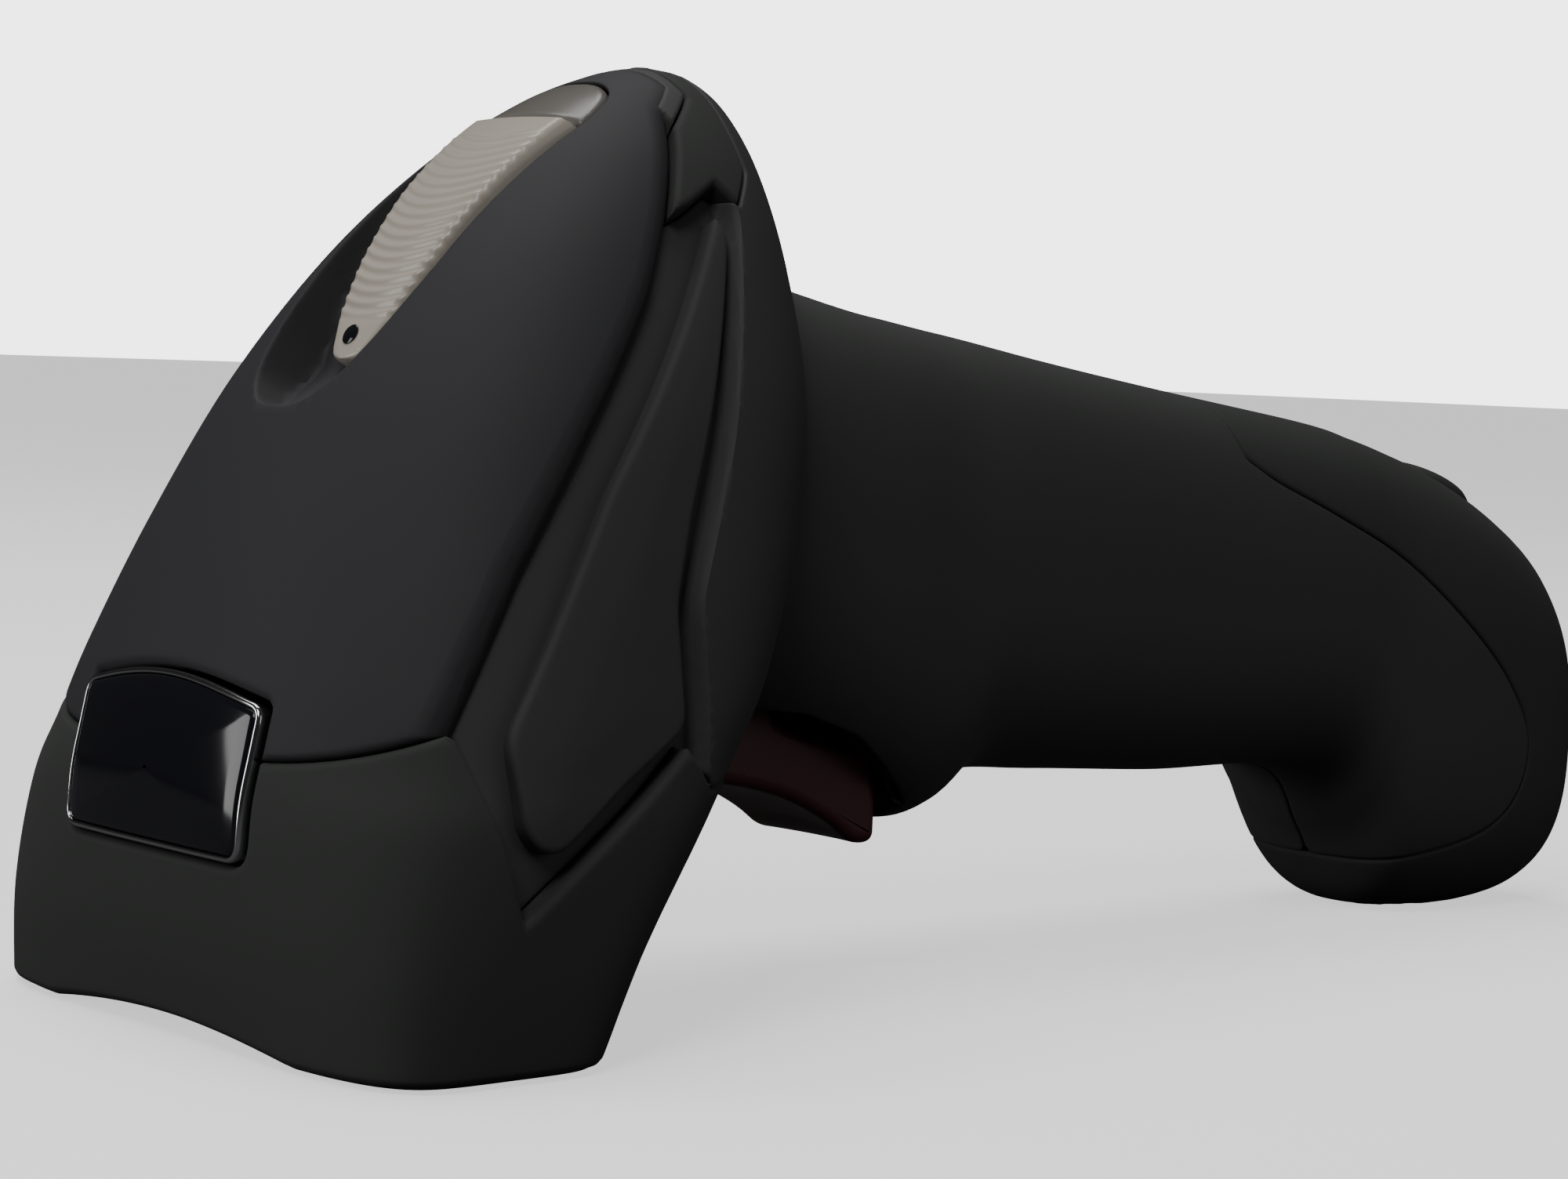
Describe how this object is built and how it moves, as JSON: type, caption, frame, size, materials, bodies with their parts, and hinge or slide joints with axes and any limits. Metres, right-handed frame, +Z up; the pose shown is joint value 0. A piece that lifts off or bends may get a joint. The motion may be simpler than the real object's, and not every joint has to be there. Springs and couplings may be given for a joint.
{
  "type": "hand-held pistol-grip barcode scanner",
  "caption": "Pistol-grip barcode scanner with a rubber-skinned grip and nose, resting on its nose and the heel of its grip.",
  "frame": {"origin": "middle of the scanner's length and width, on the table it rests on", "axes": "+X from the nose towards the heel of the grip, +Y across the scanner, +Z up from the table"},
  "size_m": [0.191, 0.07, 0.089],
  "materials": {
    "cover_black": "satin, fine grain",
    "case_gray": "satin, fine grain",
    "soft_rubber": "soft matt",
    "bar_diffuser": "milky, translucent",
    "cap_gray": "milky, darker than the bar",
    "plate_rubber": "soft matt",
    "badge_chrome": "bright",
    "badge_black": "polished",
    "trigger_maroon": "satin",
    "hood_black": "matt",
    "seal_rubber": "matt",
    "window_red": "polished, tinted",
    "inner_plastic": "matt",
    "lens_glass": "polished, coated",
    "led_clear": "clear",
    "board_green": "solder mask",
    "flex_amber": "film",
    "chip_black": "moulded",
    "shield_steel": "tinned",
    "pin_steel": "plated",
    "plunger_white": "moulded",
    "cell_wrap": "shrink film",
    "lead_red": "insulation",
    "contact_brass": "plated"
  },
  "bodies": {
    "housing": {"top_cover": "cover_black", "body_left": "case_gray", "body_right": "case_gray", "nose_bumper": "soft_rubber", "rear_bumper": "soft_rubber", "side_plate_left": "plate_rubber", "side_plate_right": "plate_rubber", "grip_boot": "soft_rubber", "light_bar": "bar_diffuser", "light_bar_cap": "cap_gray", "badge_frame": "badge_chrome", "badge_plate": "badge_black", "window_frame": "hood_black", "window_gasket": "seal_rubber", "scan_window": "window_red", "chassis": "inner_plastic", "engine_housing": "hood_black", "engine_lens": "lens_glass", "aiming_lens": "lens_glass", "illumination_leds": "led_clear", "engine_board": "board_green", "engine_flex": "flex_amber", "main_board": "board_green", "board_chips": "chip_black", "buzzer": "chip_black", "led_board": "board_green", "indicator_leds": "led_clear", "radio_board": "shield_steel", "trigger_carrier": "inner_plastic", "trigger_pin": "pin_steel", "trigger_spring": "pin_steel", "trigger_switch": "chip_black", "switch_board": "board_green", "battery_cell": "cell_wrap", "battery_cradle": "inner_plastic", "battery_lead": "lead_red", "socket_shell": "chip_black", "socket_contacts": "contact_brass", "socket_board": "board_green", "heel_cap": "soft_rubber", "case_screws": "pin_steel", "screw_inserts": "contact_brass", "board_screws": "pin_steel"},
    "trigger": {"trigger": "trigger_maroon"},
    "plunger": {"switch_plunger": "plunger_white"}
  },
  "joints": [
    {"name": "trigger_pull", "type": "hinge", "parent": "housing", "child": "trigger", "pos_m": [-0.0335, 0, 0.031], "axis": [0, -1, 0], "range_deg": [0, 7], "stiffness_Nm_per_rad": 0.1, "springref_deg": -11.46, "deforming": ["trigger_spring"]},
    {"name": "plunger_press", "type": "slide", "parent": "housing", "child": "plunger", "axis": [0, 0, 1], "range_m": [0, 0.00086]}
  ],
  "couplings": [
    {"joint": "plunger_press", "follows": "trigger_pull", "m_per_rad": 0.007}
  ]
}
